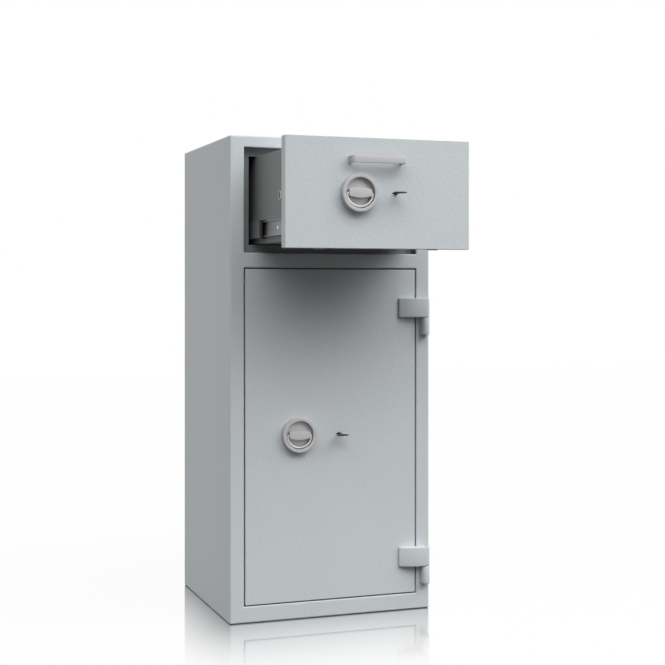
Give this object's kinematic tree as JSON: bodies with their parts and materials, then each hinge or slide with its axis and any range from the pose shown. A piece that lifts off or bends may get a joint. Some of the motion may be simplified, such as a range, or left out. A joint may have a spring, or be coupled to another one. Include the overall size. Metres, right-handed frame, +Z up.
{
  "type": "drop safe with deposit drawer",
  "caption": "Upright steel drop safe: a lidded deposit drawer on telescopic runners above a hinged locked door, both with rotary bolt handles and key locks.",
  "frame": {"origin": "middle of the cabinet's footprint, on the plane that it stands on", "axes": "+Z up, +Y from the front towards the back, +X to the right as seen from the front"},
  "size_m": [0.532, 0.842, 1.2],
  "materials": {
    "body_paint": "fine textured light grey powder coat",
    "inner_paint": "smooth light grey powder coat",
    "satin_metal": "satin",
    "bright_steel": "bright machined",
    "zinc_plate": "zinc plated",
    "black_plastic": "matt",
    "infill": "cast mineral filling"
  },
  "bodies": {
    "cabinet": {"outer_casing": "body_paint", "front_frame": "body_paint", "inner_liner": "inner_paint", "wall_infill": "infill", "compartment_divider": "inner_paint", "drop_chute": "zinc_plate", "runner_bracket_left": "inner_paint", "runner_bracket_right": "inner_paint", "runner_outer_left": "zinc_plate", "runner_outer_right": "zinc_plate", "drawer_keeper_left": "bright_steel", "drawer_keeper_right": "bright_steel", "hinge_frame_leaf_upper": "body_paint", "hinge_frame_leaf_lower": "body_paint"},
    "door": {"door_panel": "body_paint", "door_inner_cover": "inner_paint", "door_security_bar": "inner_paint", "hinge_door_strap_upper": "body_paint", "hinge_door_strap_lower": "body_paint", "door_lock_case": "zinc_plate", "door_handle_ring": "satin_metal"},
    "door_handle": {"door_handle_knob": "satin_metal", "door_handle_spindle": "bright_steel", "door_pinion": "bright_steel"},
    "door_bail": {"door_handle_bail": "bright_steel"},
    "door_boltwork": {"door_bolt_bar": "zinc_plate", "door_bolt_upper": "bright_steel", "door_bolt_middle": "bright_steel", "door_bolt_lower": "bright_steel"},
    "door_key": {"door_key": "bright_steel"},
    "door_lock_bolt": {"door_lock_bolt": "bright_steel"},
    "drawer": {"drawer_front": "body_paint", "drawer_box": "inner_paint", "drawer_lock_cover": "inner_paint", "drawer_chute_floor": "inner_paint", "drawer_top_frame": "inner_paint", "drawer_pull_handle": "satin_metal", "drawer_handle_ring": "satin_metal", "drawer_lock_case": "zinc_plate", "drawer_bolt_bush_left": "bright_steel", "drawer_bolt_bush_right": "bright_steel", "runner_inner_left": "zinc_plate", "runner_inner_right": "zinc_plate", "lid_hinge_leaf": "zinc_plate"},
    "drawer_handle": {"drawer_handle_knob": "satin_metal", "drawer_handle_spindle": "bright_steel", "drawer_pinion": "bright_steel"},
    "drawer_bail": {"drawer_handle_bail": "bright_steel"},
    "drawer_bolt_left": {"drawer_bolt_left": "bright_steel"},
    "drawer_bolt_right": {"drawer_bolt_right": "bright_steel"},
    "drawer_key": {"drawer_key": "bright_steel"},
    "drawer_lock_bolt": {"drawer_lock_bolt": "bright_steel"},
    "runner_middle_left": {"runner_middle_left": "zinc_plate", "runner_cap_left": "black_plastic"},
    "runner_middle_right": {"runner_middle_right": "zinc_plate", "runner_cap_right": "black_plastic"},
    "drawer_lid": {"drawer_lid": "body_paint", "lid_lock_barrel": "bright_steel"},
    "lid_cam": {"lid_lock_cam": "bright_steel"}
  },
  "joints": [
    {"name": "door_hinge", "type": "hinge", "parent": "cabinet", "child": "door", "pos_m": [0.2505, -0.2513, 0.459], "axis": [0, 0, 1], "range_deg": [0, 180]},
    {"name": "door_handle_turn", "type": "hinge", "parent": "door", "child": "door_handle", "pos_m": [-0.09, -0.238, 0.459], "axis": [0, 1, 0], "range_deg": [0, 90]},
    {"name": "door_bail_fold", "type": "hinge", "parent": "door_handle", "child": "door_bail", "pos_m": [-0.09, -0.25, 0.459], "axis": [-1, 0, 0], "range_deg": [0, 90]},
    {"name": "door_bolt_throw", "type": "slide", "parent": "door", "child": "door_boltwork", "axis": [-1, 0, 0], "range_m": [0, 0.02199]},
    {"name": "door_key_turn", "type": "hinge", "parent": "door", "child": "door_key", "pos_m": [0.0185, -0.238, 0.4575], "axis": [0, 1, 0], "range_deg": [0, 180]},
    {"name": "door_lock_bolt_slide", "type": "slide", "parent": "door", "child": "door_lock_bolt", "axis": [0, 0, -1], "range_m": [0, 0.009]},
    {"name": "drawer_slide", "type": "slide", "parent": "cabinet", "child": "drawer", "axis": [0, -1, 0], "range_m": [-0.322, 0]},
    {"name": "runner_left_slide", "type": "slide", "parent": "cabinet", "child": "runner_middle_left", "axis": [0, -1, 0], "range_m": [-0.161, 0]},
    {"name": "runner_right_slide", "type": "slide", "parent": "cabinet", "child": "runner_middle_right", "axis": [0, -1, 0], "range_m": [-0.161, 0]},
    {"name": "drawer_handle_turn", "type": "hinge", "parent": "drawer", "child": "drawer_handle", "pos_m": [-0.052, -0.56, 1.041], "axis": [0, 1, 0], "range_deg": [0, 90]},
    {"name": "drawer_bail_fold", "type": "hinge", "parent": "drawer_handle", "child": "drawer_bail", "pos_m": [-0.052, -0.572, 1.041], "axis": [-1, 0, 0], "range_deg": [0, 90]},
    {"name": "drawer_bolt_left_throw", "type": "slide", "parent": "drawer", "child": "drawer_bolt_left", "axis": [-1, 0, 0], "range_m": [0, 0.02199]},
    {"name": "drawer_bolt_right_throw", "type": "slide", "parent": "drawer", "child": "drawer_bolt_right", "axis": [1, 0, 0], "range_m": [0, 0.02199]},
    {"name": "drawer_key_turn", "type": "hinge", "parent": "drawer", "child": "drawer_key", "pos_m": [0.04, -0.56, 1.0425], "axis": [0, 1, 0], "range_deg": [0, 180]},
    {"name": "drawer_lock_bolt_slide", "type": "slide", "parent": "drawer", "child": "drawer_lock_bolt", "axis": [0, 0, 1], "range_m": [0, 0.009]},
    {"name": "deposit_lid_hinge", "type": "hinge", "parent": "drawer", "child": "drawer_lid", "pos_m": [0.1872, -0.33325, 1.146], "axis": [0, 1, 0], "range_deg": [0, 100.5]},
    {"name": "lid_lock_turn", "type": "hinge", "parent": "drawer_lid", "child": "lid_cam", "pos_m": [-0.1418, -0.2745, 1.1495], "axis": [0, 0, -1], "range_deg": [0, 90]}
  ],
  "couplings": [
    {"joint": "door_handle_turn", "follows": "door_bolt_throw", "rad_per_m": 71.428},
    {"joint": "door_lock_bolt_slide", "follows": "door_key_turn", "m_per_rad": 0.002864},
    {"joint": "runner_left_slide", "follows": "drawer_slide", "ratio": 0.5},
    {"joint": "runner_right_slide", "follows": "drawer_slide", "ratio": 0.5},
    {"joint": "drawer_handle_turn", "follows": "drawer_bolt_right_throw", "rad_per_m": 71.428},
    {"joint": "drawer_bolt_left_throw", "follows": "drawer_bolt_right_throw", "ratio": 1},
    {"joint": "drawer_lock_bolt_slide", "follows": "drawer_key_turn", "m_per_rad": 0.002864}
  ]
}
